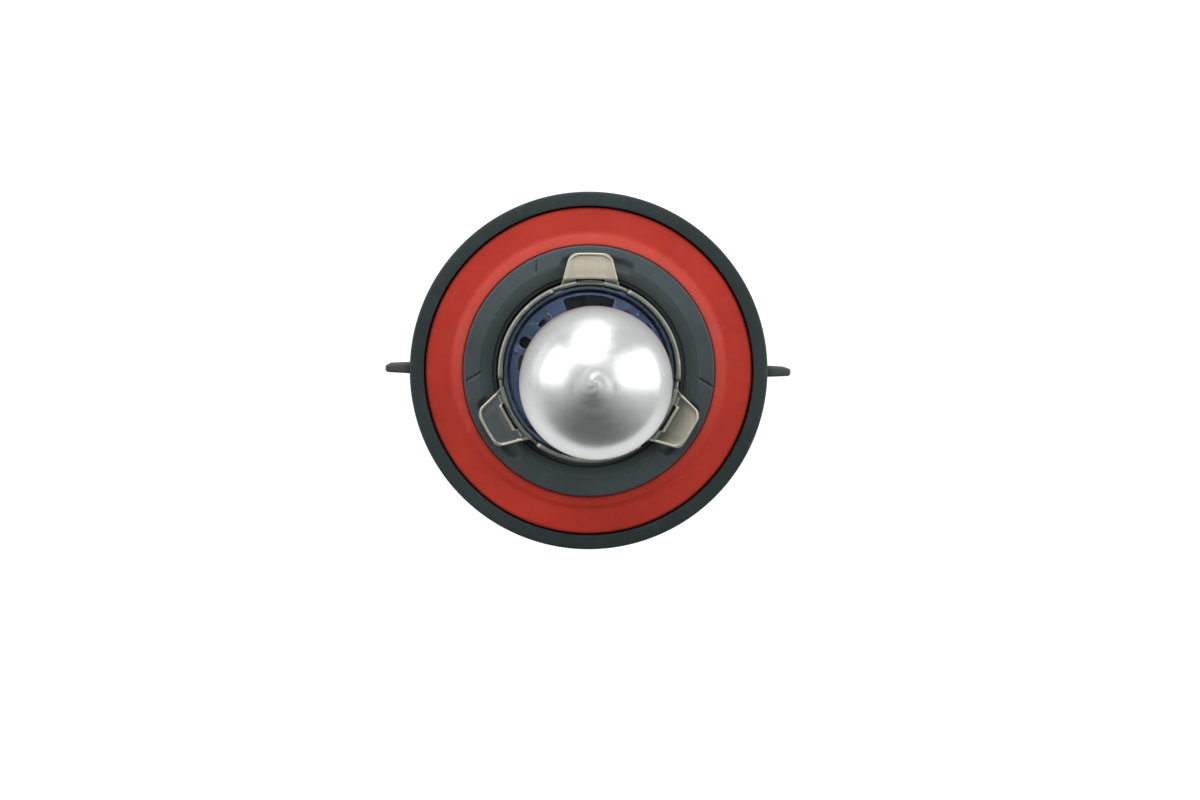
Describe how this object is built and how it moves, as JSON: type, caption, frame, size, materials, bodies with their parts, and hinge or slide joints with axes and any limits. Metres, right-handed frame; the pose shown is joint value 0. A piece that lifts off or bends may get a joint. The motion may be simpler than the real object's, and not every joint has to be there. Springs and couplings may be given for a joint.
{
  "type": "headlight bulb",
  "caption": "Headlight bulb with a silver-coated glass tip, tabbed metal ring, keyed plastic hub, red face seal, winged lock collar and bladed connector.",
  "frame": {"origin": "centre of the connector shroud's rim, at the bottom of the object, on the lamp's axis", "axes": "+Z along the lamp's axis from the connector towards the silver-coated tip, +Y towards the first tab of the prefocus ring, +X through the collar's right-hand wing"},
  "size_m": [0.052, 0.0454, 0.081],
  "materials": {
    "clear_glass": "clear hard glass with a silver mirror coating on the tip",
    "tungsten": "drawn tungsten wire",
    "molybdenum": "satin molybdenum",
    "nickel_lead": "satin nickel",
    "spring_steel": "satin",
    "sleeve_steel": "satin",
    "blued_steel": "blue-grey heat tint, satin",
    "plated_ring": "warm grey plating, satin",
    "hub_plastic": "moulded, fine texture",
    "red_silicone": "matte silicone",
    "collar_plastic": "moulded, fine texture",
    "housing_plastic": "moulded",
    "carrier_plastic": "moulded",
    "tinned_blade": "tin-plated brass, bright"
  },
  "bodies": {
    "base": {"glass_envelope": "clear_glass", "glass_pinch": "clear_glass", "main_beam_filament": "tungsten", "daytime_filament": "tungsten", "filament_shield": "molybdenum", "main_support_wire": "molybdenum", "daytime_support_wire": "molybdenum", "common_support_wire": "molybdenum", "main_foil": "molybdenum", "daytime_foil": "molybdenum", "common_foil": "molybdenum", "main_outer_lead": "nickel_lead", "daytime_outer_lead": "nickel_lead", "common_outer_lead": "nickel_lead", "pinch_clip": "spring_steel", "base_sleeve": "sleeve_steel", "capsule_retainer": "blued_steel", "prefocus_ring": "plated_ring", "holder_hub": "hub_plastic", "face_seal": "red_silicone", "rear_housing": "housing_plastic", "terminal_carrier": "carrier_plastic", "main_terminal": "tinned_blade", "daytime_terminal": "tinned_blade", "common_terminal": "tinned_blade"},
    "lock_collar": {"lock_collar": "collar_plastic"}
  },
  "joints": [
    {"name": "collar_twist", "type": "hinge", "parent": "base", "child": "lock_collar", "pos_m": [0, 0, 0.0268], "axis": [0, 0, 1], "range_deg": [0, 30]}
  ]
}
